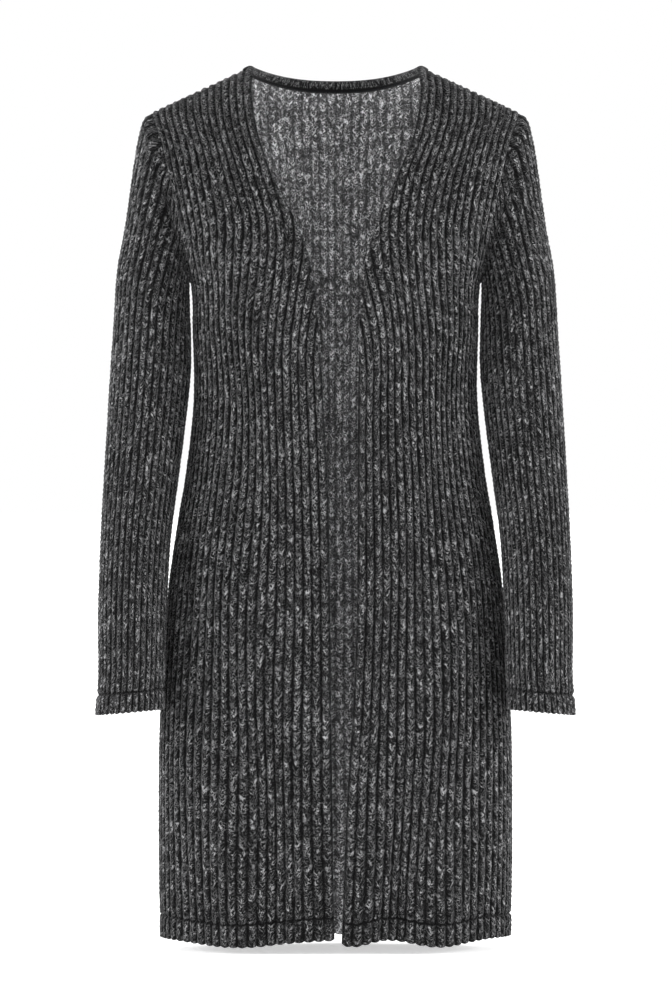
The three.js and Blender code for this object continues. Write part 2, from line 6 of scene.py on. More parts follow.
import bpy
import numpy as np
from bpy.props import FloatProperty, FloatVectorProperty, PointerProperty
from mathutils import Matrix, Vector

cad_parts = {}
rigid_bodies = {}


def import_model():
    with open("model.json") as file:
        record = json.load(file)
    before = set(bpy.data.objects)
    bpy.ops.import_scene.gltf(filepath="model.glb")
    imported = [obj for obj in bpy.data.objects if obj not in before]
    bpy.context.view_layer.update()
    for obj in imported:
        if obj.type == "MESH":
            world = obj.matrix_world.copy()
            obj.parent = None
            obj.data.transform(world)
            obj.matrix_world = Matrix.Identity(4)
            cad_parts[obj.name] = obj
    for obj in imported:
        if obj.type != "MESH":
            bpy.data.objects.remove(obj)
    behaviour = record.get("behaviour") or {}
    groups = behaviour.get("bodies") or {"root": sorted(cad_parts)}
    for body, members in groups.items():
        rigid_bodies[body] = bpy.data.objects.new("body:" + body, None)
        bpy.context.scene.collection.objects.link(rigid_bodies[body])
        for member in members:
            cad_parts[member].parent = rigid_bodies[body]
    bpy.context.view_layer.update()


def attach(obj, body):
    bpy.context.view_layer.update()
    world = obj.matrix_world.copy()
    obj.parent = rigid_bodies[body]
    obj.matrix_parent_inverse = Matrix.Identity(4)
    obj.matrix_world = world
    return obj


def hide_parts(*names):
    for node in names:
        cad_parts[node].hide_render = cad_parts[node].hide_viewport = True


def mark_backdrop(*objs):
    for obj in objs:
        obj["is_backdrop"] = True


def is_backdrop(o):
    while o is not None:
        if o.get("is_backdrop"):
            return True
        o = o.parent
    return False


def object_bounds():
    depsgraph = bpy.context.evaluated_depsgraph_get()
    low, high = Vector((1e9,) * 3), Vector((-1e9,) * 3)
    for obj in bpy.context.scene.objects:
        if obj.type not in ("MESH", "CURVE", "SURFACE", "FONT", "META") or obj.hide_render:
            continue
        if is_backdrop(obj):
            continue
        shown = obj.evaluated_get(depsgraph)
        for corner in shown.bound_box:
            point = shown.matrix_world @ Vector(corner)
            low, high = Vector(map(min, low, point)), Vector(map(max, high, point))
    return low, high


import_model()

bl_info = {
    "name": "Rib-knit cardigan",
    "version": (1, 0, 0),
    "blender": (4, 5, 0),
    "location": "3D View > Sidebar > Cardigan",
    "description": "Knits a long open cardigan over its solid model and sets it in a plain studio",
    "category": "Object",
}


def table(columns, *rows):
    """Rows of numbers as named columns."""
    return dict(zip(columns.split(), np.array(rows, float).T))


# Sizes of the cut, in millimetres. The form is the solid model's. The ribs start to lean lower down
# and stop higher up than in the solids, so that they flow more evenly.

# The cloth's thickness over a rib, and the gap at the seams.
CREST = 3.6
SEAM_GAP = 0.4

# Ribs from a side seam to a front edge or to the middle of the back, the rib that meets the side of
# the neck, the ribs that end at the underarm, and the ribs round a sleeve.
FRONT_RIBS = 24
FRONT_CORNER_RIB = 18
BACK_RIBS = 26
BACK_CORNER_RIB = 15
RIBS_UNDERARM = 4
RIBS_SLEEVE = 34

# The hem's level, the courses up to which hem and cuffs are turned, and how far a rib hangs below
# its furrows.
HEM_LEVEL = -864
HEM_TURN_COURSES = 4.5
CUFF_TURN_COURSES = 4
HEM_SCALLOP = 1.6

# The shoulder seam's ends as distances from the middle and heights, and the depth of cloth over
# which the shoulders round off.
SHOULDER_TIP = (186, -30.5)
NECK_SIDE = (84, 16.3)
SHOULDER_ROUND = 95

# The underarm, the height at which the armhole has turned upright, and the levels between which the
# V takes the ribs of a front and the armhole those of the side.
UNDERARM_Z = -202
ARMHOLE_TURN_Z = -165
V_START_Z = -300
YOKE_Z = -75
RIB_TURN_Z = -300

# How far the ribs wander, as a share of a panel's width, and the heights over which they do.
RIB_SWAY = 0.009
SHORT_SWAY_Z = 47
LONG_SWAY_Z = 83

# The back neck edge and the band on it. A section of the band starts at the neck edge's inner face:
# up is a share of the band's height and out one of its thickness.
BACK_NECK_HALF = 93
BACK_NECK_MIDDLE_Z = -5.8
BACK_NECK_CURVE = 2.4
BAND_HALF = 84
BAND_MIDDLE_Z = 5.4
BAND_SIDE_Z = 17.2
BAND_THICKNESS = 4.2
BAND_SECTIONS = 181
BAND_STITCH = 2.2
BAND_GIRTH_STEP = 2.3
BAND_OUTLINE = table(
    "up out",
    (0.0, 0.1),
    (0.0, 0.9),
    (0.1, 1.12),
    (0.3, 1.2),
    (0.55, 1.18),
    (0.8, 1.05),
    (0.95, 0.8),
    (1.02, 0.5),
    (0.98, 0.2),
    (0.86, 0.0),
    (0.55, -0.1),
    (0.25, -0.06),
    (0.08, 0.0),
)

# Level sections of the trunk outside the cloth: half width, depth to the front and to the back,
# and the power of the rounded outline.
TRUNK = table(
    "z half front back power",
    (-890, 178, 112, 118, 2.45),
    (-780, 180, 113, 121, 2.45),
    (-650, 179, 112, 123, 2.45),
    (-520, 171, 108, 116, 2.4),
    (-454, 162, 105, 107, 2.35),
    (-393, 152, 103, 98, 2.3),
    (-321, 144.5, 104, 91, 2.3),
    (-250, 145.5, 114, 95, 2.3),
    (-202, 148, 120, 99, 2.3),
    (-150, 169, 116, 101, 2.3),
    (-120, 181, 109, 100, 2.3),
    (-90, 192, 100, 96, 2.25),
    (-60, 206, 90, 90, 2.2),
    (-27, 216, 80, 82, 2.1),
    (25, 220, 66, 70, 2.0),
)

# The armhole seam, and each front edge's distance from the middle.
ARMHOLE = table(
    "z x",
    (-202, 146),
    (-180, 149),
    (-153, 154),
    (-122, 161.5),
    (-87, 169),
    (-56, 177),
    (-30.5, 186),
    (25, 186),
)
FRONT_EDGE = table(
    "z right left",
    (-890, 1.5, 6.5),
    (-800, 3, 9.5),
    (-715, 4, 13),
    (-640, 5, 18),
    (-541, 6, 22),
    (-427, 8, 23),
    (-324, 13, 23.5),
    (-243, 18, 25),
    (-189, 25, 29),
    (-145, 39, 42),
    (-103, 61, 59.5),
    (-56, 78, 79),
    (-20, 84.5, 86),
    (0, 85.5, 86.5),
    (25, 82, 82),
)

# Soft folds: the place at the hem, the place and height of the top, the width and the depth.
FOLDS = {
    "front_right": table(
        "x top_x top_z width depth",
        (64, 72, -560, 24, -9),
        (108, 104, -520, 30, 7),
        (24, 22, -600, 22, 5),
    ),
    "front_left": table(
        "x top_x top_z width depth",
        (62, 70, -580, 22, -9),
        (106, 100, -540, 30, 7),
        (27, 26, -620, 20, 5),
    ),
    "back": table(
        "x top_x top_z width depth",
        (-104, -90, -520, 34, 7),
        (-52, -40, -470, 30, -10),
        (6, 2, -560, 30, 6),
        (60, 52, -540, 26, -8),
        (112, 104, -590, 32, 5),
    ),
}
HEM_DIPS = {
    "front_right": table("x width drop", (98, 60, 8.5)),
    "front_left": table("x width drop", (105, 34, 8), (18, 20, 7)),
    "back": table("x width drop", (-96, 44, 5), (8, 40, 6), (110, 36, 4)),
}

# Rings of a sleeve inside the cloth, from the cap to the cuff: the outermost and innermost point,
# half the depth, and how far the middle lies forward.
SLEEVE = table(
    "out_x out_z in_x in_z depth forward",
    (193, -38, 152, -194.5, 45, 2),
    (199, -62, 152.4, -203, 50, 1),
    (204, -95, 152.4, -215, 51.5, 2),
    (211, -145, 151.8, -232, 53, 4),
    (219, -190, 151, -255, 53, 6),
    (223, -250, 150.8, -290, 52, 9),
    (227.4, -320, 155, -335, 50, 16),
    (231.5, -395, 163, -400, 47, 27),
    (235, -465, 171, -465, 44, 41),
    (237, -540, 174.5, -540, 42, 55),
    (236.6, -600, 175.8, -596, 41, 62),
    (237.6, -617, 176.6, -611, 41, 64),
    (239, -638.5, 177.2, -632.5, 41.5, 66),
)

# How far, in ribs, the ribs of a sleeve lie nearer the underarm on each ring than evenly spaced ones.
SLEEVE_SLIDE = (1.7, 1.7, 1.2, 0.6, 0.2, 0, 0, 0, 0, 0, 0, 0, 0)

# Neighbouring columns whose lengths differ by more rows than this part at a jump. A last row that
# would be shorter than this share of one is left out.
JUMP_ROWS = 24
LAST_ROW = 0.35

# Points on a level section, on a rib's line, on the V and the yoke where a line's top is sought,
# and on a sleeve's rib over the cap and down the arm. Then the steps between the trunk's levels.
SECTION_POINTS = 121
LINE_POINTS = 301
V_POINTS = 400
YOKE_POINTS = 600
CAP_POINTS = 40
ARM_POINTS = 260
LEVEL_STEP = 5
YOKE_STEP = 2.5

# Where the knit has its columns of points within one rib, from furrow to furrow.
FINE_COLUMNS = (0, 0.1, 0.28, 0.5, 0.72, 0.9)
PLAIN_COLUMNS = (0, 0.16, 0.5, 0.84)

# The relief of the knit, as shares: how far a furrow wanders and how wide it is, how full a rib's
# section is, how far the legs of a stitch slant, how much their heights differ, how much of them is
# left in a furrow and of a rib at its end. In millimetres: how near its end a rib flattens, how deep
# and wide the sewn line sinks, how much thicker the turned edge is, over what height it gets so, and
# the thinnest cloth. Last, how many random numbers there are each way, and a rounding allowance.
RIB_WANDER = 0.16
FURROW_WIDTH = 0.2
RIB_POWER = 0.6
STITCH_SLANT = 0.5
STITCH_CHANCE = 1.4
FURROW_STITCHES = 0.3
END_RISE = 0.55
END_FADE = 6
SEWN_DEPTH = 2.1
SEWN_WIDTH = 1.7
TURN_THICKER = 0.5
TURN_FADE = 4
THINNEST = 0.9
CHANCES = 256
NUDGE = 1e-6

# How far an edge's round stands out, where it is free and where it meets a seam, and how high on the
# wall it does, as a share.
FREE_ROUND = 0.9
SEAM_ROUND = 0.3
ROUND_HEIGHT = 0.45

# The marl of the two faces: how far the legs of a stitch slant, in courses, how dark the painted shade
# in the furrows is, and how fine the strands are. The greys of a marl lie at these places on its ramp.
OUTER_MARL = {"lean": 0.9, "furrow": 0.78, "grain": 1.45}
INNER_MARL = {"lean": 0.5, "furrow": 0.5, "grain": 1.5}
GREY_PLACES = (0, 0.2, 0.45, 0.72, 1)
BLUE_TINT = 1.02

# The band's rows of stitches over which a painted shadow darkens it towards its lower edge.
BAND_PAINTED_SHADOW = (10.6, 11.4)

# Both yarns: their relief in metres, their sheen, and how rough and how little glossy they are.
MARL_BUMP = 0.0012
BAND_BUMP = 0.0005
MARL_SHEEN = 0.14
BAND_SHEEN = 0.1
SHEEN_ROUGHNESS = 0.3
SHEEN_TINT = (0.9, 0.9, 0.92, 1)
CLOTH_ROUGHNESS = 0.95
CLOTH_SPECULAR = 0.06

# The studio, in metres: the middle of the view, the lights' places and widths, and the floor.
VIEW_MIDDLE = (0.0005, 0, -0.427)
KEY_PLACE = (-0.03, -4.2, -0.3)
KEY_WIDTH = 0.35
SIDE_PLACE = (3.5, -1.5, 0.2)
SIDE_WIDTH = 1.2
FLOOR_RADIUS = 400
FLOOR_GLOW = 0.5
FAR_SIGHT = 1000
SENSOR_HEIGHT = 36

METRES = 0.001
WHITE = (1, 1, 1, 1)


def mix(a, b, share):
    return a + (b - a) * share


def smooth(share):
    """A share that starts and ends gently."""
    share = np.clip(share, 0, 1)
    return share * share * (3 - 2 * share)


def unit(vectors):
    """Each row as a vector of length 1."""
    return vectors / np.linalg.norm(vectors, axis=1, keepdims=True)


def arc_lengths(line):
    """How far along a line each of its points lies."""
    return np.concatenate([[0], np.cumsum(np.linalg.norm(np.diff(line, axis=0), axis=1))])


def values_at(places, arc, values):
    """Rows of three values at places between those whose arc lengths are known."""
    return np.stack([np.interp(places, arc, values[:, k]) for k in range(3)], axis=1)


def rib_places(ribs, columns):
    """The places of all columns of points, counted in ribs."""
    return np.array([*(rib + offset for rib in range(ribs) for offset in columns), ribs])


def at(rows, column, z):
    """A table's column at heights z, on a smooth curve through its rows."""
    heights, values = rows["z"], rows[column]
    z = np.clip(z, heights[0], heights[-1])
    i = np.clip(np.searchsorted(heights, z) - 1, 0, len(heights) - 2)
    before, after = np.maximum(i - 1, 0), np.minimum(i + 2, len(heights) - 1)
    step = heights[i + 1] - heights[i]
    t = (z - heights[i]) / step
    slope_a = (values[i + 1] - values[before]) / (heights[i + 1] - heights[before]) * step
    slope_b = (values[after] - values[i]) / (heights[after] - heights[i]) * step
    return (
        (2 * t**3 - 3 * t**2 + 1) * values[i]
        + (t**3 - 2 * t**2 + t) * slope_a
        + (3 * t**2 - 2 * t**3) * values[i + 1]
        + (t**3 - t**2) * slope_b
    )


def shoulder_z(x):
    """The shoulder seam's height at a distance from the middle."""
    slope = (NECK_SIDE[1] - SHOULDER_TIP[1]) / (SHOULDER_TIP[0] - NECK_SIDE[0])
    return SHOULDER_TIP[1] + (SHOULDER_TIP[0] - x) * slope


def crown_z(x):
    """The height to which the cloth rises over a place."""
    half = NECK_SIDE[0]
    return shoulder_z(np.where(x < half, x * x / half / 2 + half / 2, x))


def back_top_z(x):
    """The back neck edge's height, or the shoulder line outside the neck."""
    rise = shoulder_z(BACK_NECK_HALF) - BACK_NECK_MIDDLE_Z
    curve = BACK_NECK_MIDDLE_Z + rise * np.clip(x / BACK_NECK_HALF, 0, 1) ** BACK_NECK_CURVE
    return np.where(x >= BACK_NECK_HALF, shoulder_z(x), curve)


def depth_at(side, x, z, hand=1, folds=None):
    """How far the cloth's inner face lies from the plane of the side seams."""
    share = np.clip(x / (at(TRUNK, "half", z) - CREST), 0, 1)
    power = at(TRUNK, "power", z)
    rounded = (1 - share**power) ** (1 / power)
    under = np.clip((crown_z(x) - z) / SHOULDER_ROUND, 0, 1)
    depth = (at(TRUNK, side, z) - CREST) * rounded * np.sqrt(1 - (1 - under) ** 2)
    if folds is not None:
        for foot, top_x, top_z, width, deep in zip(*folds.values()):
            down = smooth((top_z - z) / (top_z - HEM_LEVEL))
            off = (hand * x - mix(top_x, foot, down)) / width
            depth = depth + deep * down * np.exp(-off * off) * rounded
    return depth


class Panel:
    """A front or one half of the back, as level sections divided evenly by its ribs."""

    LEVELS = np.concatenate([np.arange(-880, YOKE_Z, LEVEL_STEP), np.arange(YOKE_Z, 26, YOKE_STEP)])

    def __init__(self, name, hand, side, ribs, corner, columns):
        self.name, self.hand, self.side = name, hand, side
        self.ribs, self.corner = ribs, corner
        self.folds = FOLDS[name]
        self.places = rib_places(ribs, columns)
        self.turns = self.rib_turns()

    def places_hand(self):
        """Which way places count: over the whole back from right to left, on a front from the middle."""
        return self.hand if self.side == "back" else 1

    def inner_x(self, z):
        """The front edge's or the middle's distance from the middle of the garment."""
        if self.side == "back":
            return np.zeros_like(z, float)
        return at(FRONT_EDGE, "left" if self.hand > 0 else "right", z)

    def edge_rib(self, z):
        """The last rib at a height, which gets less where the V takes ribs away."""
        if self.side == "back":
            return np.full_like(z, self.ribs, float)
        return mix(self.ribs, self.corner, smooth((z - V_START_Z) / (YOKE_Z - V_START_Z)))

    def depth(self, x, z):
        """How far the inner face lies from the plane of the side seams, with the panel's folds."""
        return depth_at(self.side, x, z, self.places_hand(), self.folds)

    def top_z(self, x):
        """The height of the seam or the neck edge over a place."""
        return back_top_z(x) if self.side == "back" else shoulder_z(x)

    def section(self, z):
        """A level section from the side seam to the inner edge: distances from the middle and arc lengths."""
        half = at(TRUNK, "half", z) - CREST
        inner = self.inner_x(np.array([z], float))[0]
        x = half * np.cos(np.arccos(np.clip(inner / half, 0, 1)) * np.linspace(0, 1, SECTION_POINTS))
        y = self.depth(x, np.full_like(x, z))
        return x, np.concatenate([[0], np.cumsum(np.hypot(np.diff(x), np.diff(y)))])

    def arm_share(self, z):
        """The armhole's place on a section, as a share of its length."""
        x, arc = self.section(z)
        return np.interp(-at(ARMHOLE, "x", z), -x, arc) / arc[-1]

    def arm_slope(self):
        """How fast that share grows with height where the armhole turns upright."""
        return (self.arm_share(ARMHOLE_TURN_Z + 8) - self.arm_share(ARMHOLE_TURN_Z)) / 8

    def rib_turns(self):
        """Each rib place as an angle round the trunk from its side seam, level by level."""
        levels, places = self.LEVELS, self.places
        inner, edge = self.inner_x(levels), self.edge_rib(levels)
        arm_x = at(ARMHOLE, "x", levels)
        turned_share, turned_slope = self.arm_share(ARMHOLE_TURN_Z), self.arm_slope()
        found = np.zeros((len(levels), len(places)))
        for k, z in enumerate(levels):
            share = (places - RIBS_UNDERARM) / (edge[k] - RIBS_UNDERARM)
            if z > YOKE_Z:
                # Over the yoke the ribs spread evenly from where they were at the last level below.
                even = mix(yoke_share, share, smooth((z - YOKE_Z) / (NECK_SIDE[1] - YOKE_Z)))
                found[k] = mix(arm_x[k], inner[k], even)
                continue
            x, arc = self.section(z)
            whole = arc[-1]
            run = ARMHOLE_TURN_Z - RIB_TURN_Z
            t = np.clip((z - RIB_TURN_Z) / run, 0, 1)
            low_share = RIBS_UNDERARM / edge[k]
            lean = mix(low_share, turned_share, 3 * t**2 - 2 * t**3) + turned_slope * run * (t**3 - t**2)
            arm_arc = whole * lean if z < ARMHOLE_TURN_Z else np.interp(-arm_x[k], -x, arc)
            sway = np.sin(z / SHORT_SWAY_Z + 9 * share + self.hand)
            sway = sway + 0.7 * np.sin(z / LONG_SWAY_Z - 5 * share)
            share = share + RIB_SWAY * sway * np.sin(np.pi * np.clip(share, 0, 1))
            along = np.where(share < 0, arm_arc * places / RIBS_UNDERARM, mix(arm_arc, whole, share))
            found[k] = np.interp(along, arc, x)
            yoke_share = (found[k] - arm_x[k]) / (inner[k] - arm_x[k])
        half = at(TRUNK, "half", levels) - CREST
        return np.arccos(np.clip(found / half[:, None], 0, 1))

    def x(self, c, z):
        """How far a rib place lies from the middle at heights z."""
        return (at(TRUNK, "half", z) - CREST) * np.cos(np.interp(z, self.LEVELS, self.turns[:, c]))

    def top(self, c):
        """The height at which a rib place ends: on the underarm curve, the V, the neck or the shoulder."""
        rib = self.places[c]
        if rib < RIBS_UNDERARM:
            share = rib / RIBS_UNDERARM
            return UNDERARM_Z + (ARMHOLE_TURN_Z - UNDERARM_Z) * (1 - np.sqrt(1 - share * share))
        if rib == RIBS_UNDERARM:
            return SHOULDER_TIP[1]
        if self.side == "front" and rib > self.corner:
            z = np.linspace(V_START_Z, YOKE_Z, V_POINTS)
            return np.interp(-rib, -self.edge_rib(z), z)
        z = np.linspace(YOKE_Z, NECK_SIDE[1] + 1, YOKE_POINTS)
        over = z - self.top_z(self.x(c, z))
        k = max(int(np.argmax(over >= 0)), 1) if (over >= 0).any() else len(z) - 1
        return mix(z[k - 1], z[k], np.clip(-over[k - 1] / (over[k] - over[k - 1]), 0, 1))

    def column(self, c):
        """A rib place's line on the cloth's inner face, from the hem to its top."""
        place = self.x(c, HEM_LEVEL) * self.places_hand()
        dips = HEM_DIPS[self.name]
        hem = HEM_LEVEL - np.sum(dips["drop"] * np.exp(-(((place - dips["x"]) / dips["width"]) ** 2)))
        hem -= HEM_SCALLOP * np.sin(np.pi * (self.places[c] % 1))
        top = self.top(c)
        z = top - (top - hem) * np.linspace(1, 0, LINE_POINTS) ** 2
        x = self.x(c, z)
        out = -1 if self.side == "front" else 1
        y = out * (self.depth(x, z) + SEAM_GAP / 2)
        return np.stack([self.hand * x, y, z], axis=1)


def even_rows(line, step):
    """Points at even steps along a line, from its start, and the last one at its end."""
    arc = arc_lengths(line)
    rows = max(int(np.ceil(arc[-1] / step - LAST_ROW)), 1)
    places = np.append(np.arange(rows) * step, arc[-1])
    return values_at(places, arc, line), places


class Cloth:
    """A knitted wall: columns of points over its inner face.

    base holds the points, ids their numbers by column, arc their distances from the lower end, reach
    the whole length there, rib their places across, and free the ones on an edge that isn't a seam.
    jumps gives, beside a column that ends lower than its neighbour, the row where they part. same
    gives the number to use for each point, which joins the two ends of a closed tube.
    """

    def __init__(self, lines, places, step, closed):
        self.closed, self.jumps = closed, {}
        self.rows, arcs = zip(*(even_rows(line, step) for line in lines))
        counts = [len(rows) for rows in self.rows]
        self.ids = np.split(np.arange(sum(counts)), np.cumsum(counts)[:-1])
        self.base = np.concatenate(self.rows)
        self.arc = np.concatenate(arcs)
        self.rib = np.repeat(places, counts)
        self.reach = np.repeat([arc[-1] for arc in arcs], counts)
        self.free = self.arc == 0
        self.same = np.arange(len(self.base))
        if closed:
            self.same[self.ids[-1]] = self.ids[0]

    def strips(self, ids, jumps):
        """Triangles between neighbouring columns of points, as far as they face each other."""
        found = []
        for c in range(len(ids) - 1):
            a, b = ids[c], ids[c + 1]
            rows = np.arange(jumps.get(c, max(len(a), len(b)) - 1))
            a0, a1 = a[np.minimum(rows, len(a) - 1)], a[np.minimum(rows + 1, len(a) - 1)]
            b0, b1 = b[np.minimum(rows, len(b) - 1)], b[np.minimum(rows + 1, len(b) - 1)]
            found += [np.stack([a0, b0, b1], 1)[b0 != b1], np.stack([a0, b1, a1], 1)[a0 != a1]]
        return np.concatenate(found)

    def normals(self):
        faces = self.same[self.strips(self.ids, self.jumps)]
        a, b, c = (self.base[faces[:, k]] for k in range(3))
        across = np.cross(b - a, c - a)
        found = np.zeros_like(self.base)
        for axis in range(3):
            for corner in range(3):
                found[:, axis] += np.bincount(faces[:, corner], across[:, axis], len(found))
        return unit(found[self.same])

    def edges(self):
        """The cloth's edges as loops of column and row."""
        tops = [len(ids) - 1 for ids in self.ids]
        last = len(tops) - 1
        if self.closed:
            return [[(c, 0) for c in range(last, 0, -1)], [(c, tops[c]) for c in range(last)]]
        loop = [(0, row) for row in range(tops[0] + 1)]
        for c in range(1, last + 1):
            limit = self.jumps.get(c - 1)
            if limit is not None and tops[c] > tops[c - 1]:
                loop += [(c, row) for row in range(limit, tops[c])]
            if limit is not None and tops[c] < tops[c - 1]:
                loop += [(c - 1, row) for row in range(tops[c - 1] - 1, limit - 1, -1)]
            loop.append((c, tops[c]))
        loop += [(last, row) for row in range(tops[last] - 1, -1, -1)]
        loop += [(c, 0) for c in range(last - 1, 0, -1)]
        return [loop]


def stitch_relief(cloth, sizes, seed, turn):
    """Height of the knit's outer face over its inner one: ribs, stitches and the sewn line."""
    chance = np.random.default_rng(seed).random((CHANCES, CHANCES)) - 0.5
    furrow = np.round(cloth.rib).astype(int) % CHANCES
    level = cloth.arc / sizes.course
    row, beyond = np.floor(level).astype(int), level % 1
    sway = mix(chance[furrow, row % CHANCES], chance[furrow, (row + 1) % CHANCES], smooth(beyond))
    phase = (cloth.rib + RIB_WANDER * sway) % 1
    across = np.abs(phase - 0.5) * 2
    arch = (np.sin(np.pi * phase) - FURROW_WIDTH) / (1 - FURROW_WIDTH)
    profile = np.clip(arch, 0, 1) ** RIB_POWER
    slanted = level - across * STITCH_SLANT
    stitch = np.floor(slanted + NUDGE).astype(int) % CHANCES
    leg = np.floor(cloth.rib * 2 + NUDGE).astype(int) % CHANCES
    wave = np.cos(2 * np.pi * slanted) + STITCH_CHANCE * chance[leg, stitch]
    relief = sizes.stitch_rise * wave * mix(FURROW_STITCHES, 1, profile)
    full = smooth((cloth.reach - cloth.arc) / END_FADE)
    height = sizes.furrow_wall + sizes.rib_rise * profile * mix(END_RISE, 1, full) + relief * full
    over_line = cloth.arc - turn * sizes.course
    height = height + TURN_THICKER * smooth(-over_line / TURN_FADE)
    height = height - SEWN_DEPTH * np.exp(-((over_line / SEWN_WIDTH) ** 2))
    return np.maximum(height, THINNEST)


def rim_faces(ids, ring, kept, inner):
    """Triangles from the ring of points on a rounded edge to both faces.

    ids are the edge's points on the outer face, kept tells which of them the inner face has too, and
    inner is added to such a number to get the inner face's point.
    """
    ring_next = np.roll(ring, -1)
    faces = [np.stack([ids, np.roll(ids, -1), ring_next], 1), np.stack([ids, ring_next, ring], 1)]
    corners = np.nonzero(kept[ids])[0]
    for i, j in zip(corners, np.roll(corners, -1)):
        steps = (j - i) % len(ids) or len(ids)
        run = ring[(i + np.arange(steps + 1)) % len(ids)]
        start, end = ids[i] + inner, ids[j] + inner
        faces.append(np.stack([run[:-1], run[1:], np.full(steps, start)], 1))
        faces.append(np.array([[run[-1], end, start]]))
    return np.concatenate(faces)


def knit_mesh(name, cloth, normals, height, keep, course):
    """A closed mesh: the ribbed outer face, an inner one of fewer points and rounded edges between.

    keep is how many columns of the outer face go to one of the inner face, which has every other row.
    """
    dense = len(cloth.base)
    sparse = [ids[[*range(0, len(ids) - 1, 2), len(ids) - 1]] for ids in cloth.ids[::keep]]
    jumps = {c // keep: limit // 2 for c, limit in cloth.jumps.items()}
    inner_faces = cloth.strips(sparse, jumps)[:, ::-1] + dense
    outer_faces = cloth.strips(cloth.ids, cloth.jumps)

    kept = np.zeros(dense, bool)
    kept[np.concatenate(sparse)] = True
    kept = kept | kept[cloth.same]
    rim_points, rim_from, rims = [], [], []
    start = 2 * dense
    for loop in cloth.edges():
        ids = np.array([cloth.ids[c][row] for c, row in loop])
        here = cloth.base[ids]
        along = np.roll(here, -1, axis=0) - np.roll(here, 1, axis=0)
        away = np.cross(normals[ids], along)
        away /= np.linalg.norm(away, axis=1, keepdims=True) + 1e-9
        stands_out = np.where(cloth.free[ids], FREE_ROUND, SEAM_ROUND)
        middle = here + normals[ids] * (height[ids] * ROUND_HEIGHT)[:, None] + away * stands_out[:, None]
        rim_points.append(middle)
        rim_from.append(ids)
        rims.append(rim_faces(ids, np.arange(start, start + len(ids)), kept, dense))
        start += len(ids)

    outer = cloth.base + normals * height[:, None]
    points = np.concatenate([outer, cloth.base, *rim_points])
    source = np.concatenate([np.arange(dense), np.arange(dense), *rim_from])
    uv = np.stack([cloth.rib, cloth.arc / course], axis=1)[source]
    same = np.arange(len(points))
    same[:dense] = cloth.same
    same[dense : 2 * dense] = cloth.same + dense
    faces = np.concatenate([outer_faces, *rims, inner_faces])
    inside = np.zeros(len(faces), int)
    inside[-len(inner_faces) :] = 1
    a, b, c = (same[faces[:, k]] for k in range(3))
    whole = (a != b) & (b != c) & (a != c)
    return make_object(name, points, same[faces][whole], uv[faces][whole], inside[whole])


def make_object(name, points, faces, uv, inside):
    """A Blender object at the origin from points in millimetres, triangles and their UV corners."""
    used, faces = np.unique(faces, return_inverse=True)
    faces = faces.reshape(-1, 3)
    mesh = bpy.data.meshes.new(name)
    mesh.from_pydata((points[used] * METRES).tolist(), [], faces.tolist())
    mesh.uv_layers.new(name="knit")
    mesh.uv_layers["knit"].data.foreach_set("uv", uv.astype(np.float32).ravel())
    mesh.polygons.foreach_set("material_index", inside.astype(np.int32))
    mesh.polygons.foreach_set("use_smooth", np.ones(len(faces), bool))
    mesh.validate()
    mesh.update()
    piece = bpy.data.objects.new(name, mesh)
    bpy.context.scene.collection.objects.link(piece)
    return piece


@functools.lru_cache
def panel_cloth(name, step):
    """A front's or the back's cloth, its normals, and its columns' places from their side seams.

    The columns run from left to right as one sees them from outside.
    """
    if name == "back":
        right, left = (
            Panel(name, hand, "back", BACK_RIBS, BACK_CORNER_RIB, PLAIN_COLUMNS) for hand in (-1, 1)
        )
        middle = len(left.places) - 1
        lines = [left.column(c) for c in range(middle)]
        lines += [right.column(c) for c in range(middle, -1, -1)]
        beside = np.concatenate([left.places[:middle], right.places[::-1]])
        places = np.concatenate([left.places[:middle], 2 * BACK_RIBS - right.places[::-1]])
    else:
        hand = 1 if name == "front_left" else -1
        panel = Panel(name, hand, "front", FRONT_RIBS, FRONT_CORNER_RIB, FINE_COLUMNS)
        lines = [panel.column(c) for c in range(len(panel.places))]
        beside = places = panel.places
        if hand > 0:
            lines, beside = lines[::-1], beside[::-1]
            places = FRONT_RIBS - beside
    cloth = Cloth(lines, places, step, closed=False)
    for c in range(len(beside) - 1):
        low, high = sorted((c, c + 1), key=lambda k: len(cloth.ids[k]))
        if len(cloth.ids[high]) - len(cloth.ids[low]) > JUMP_ROWS:
            row = int(np.argmin(np.abs(cloth.rows[high][:, 2] - cloth.rows[low][-1, 2])))
            row = max(row, len(cloth.ids[low]) - 1)
            cloth.jumps[c] = row + row % 2
    normals = cloth.normals()
    corner = BACK_CORNER_RIB if name == "back" else FRONT_CORNER_RIB
    tops = np.array([ids[-1] for ids in cloth.ids])
    hems = np.array([ids[0] for ids in cloth.ids])
    at_point = np.repeat(beside, [len(ids) for ids in cloth.ids])
    normals[tops[(beside >= RIBS_UNDERARM) & (beside <= corner)], 1] = 0
    normals[at_point == 0, 1] = 0
    normals[hems, 2] = 0
    normals = unit(normals)
    if name != "back":
        cloth.free |= (at_point > corner) | ((at_point == corner) & (cloth.arc < cloth.reach))
    return cloth, normals, beside


def armhole_path(name, hand, step):
    """A panel's armhole edge from the shoulder tip to the underarm: points and normals."""
    cloth, normals, beside = panel_cloth(name, step)
    side = [c for c, ids in enumerate(cloth.ids) if np.sign(cloth.base[ids[0], 0]) == hand]
    whole = next(c for c in side if beside[c] == RIBS_UNDERARM)
    limit = next(row for c, row in cloth.jumps.items() if whole in (c, c + 1))
    under = sorted((c for c in side if beside[c] < RIBS_UNDERARM), key=lambda c: -beside[c])
    ids = [*cloth.ids[whole][limit:][::-1], *(cloth.ids[c][-1] for c in under)]
    return cloth.base[ids], normals[ids]


def along_path(points, others, shares):
    """Two rows of values at shares of the way along the first one's points."""
    arc = arc_lengths(points)
    return [values_at(shares * arc[-1], arc, values) for values in (points, others)]


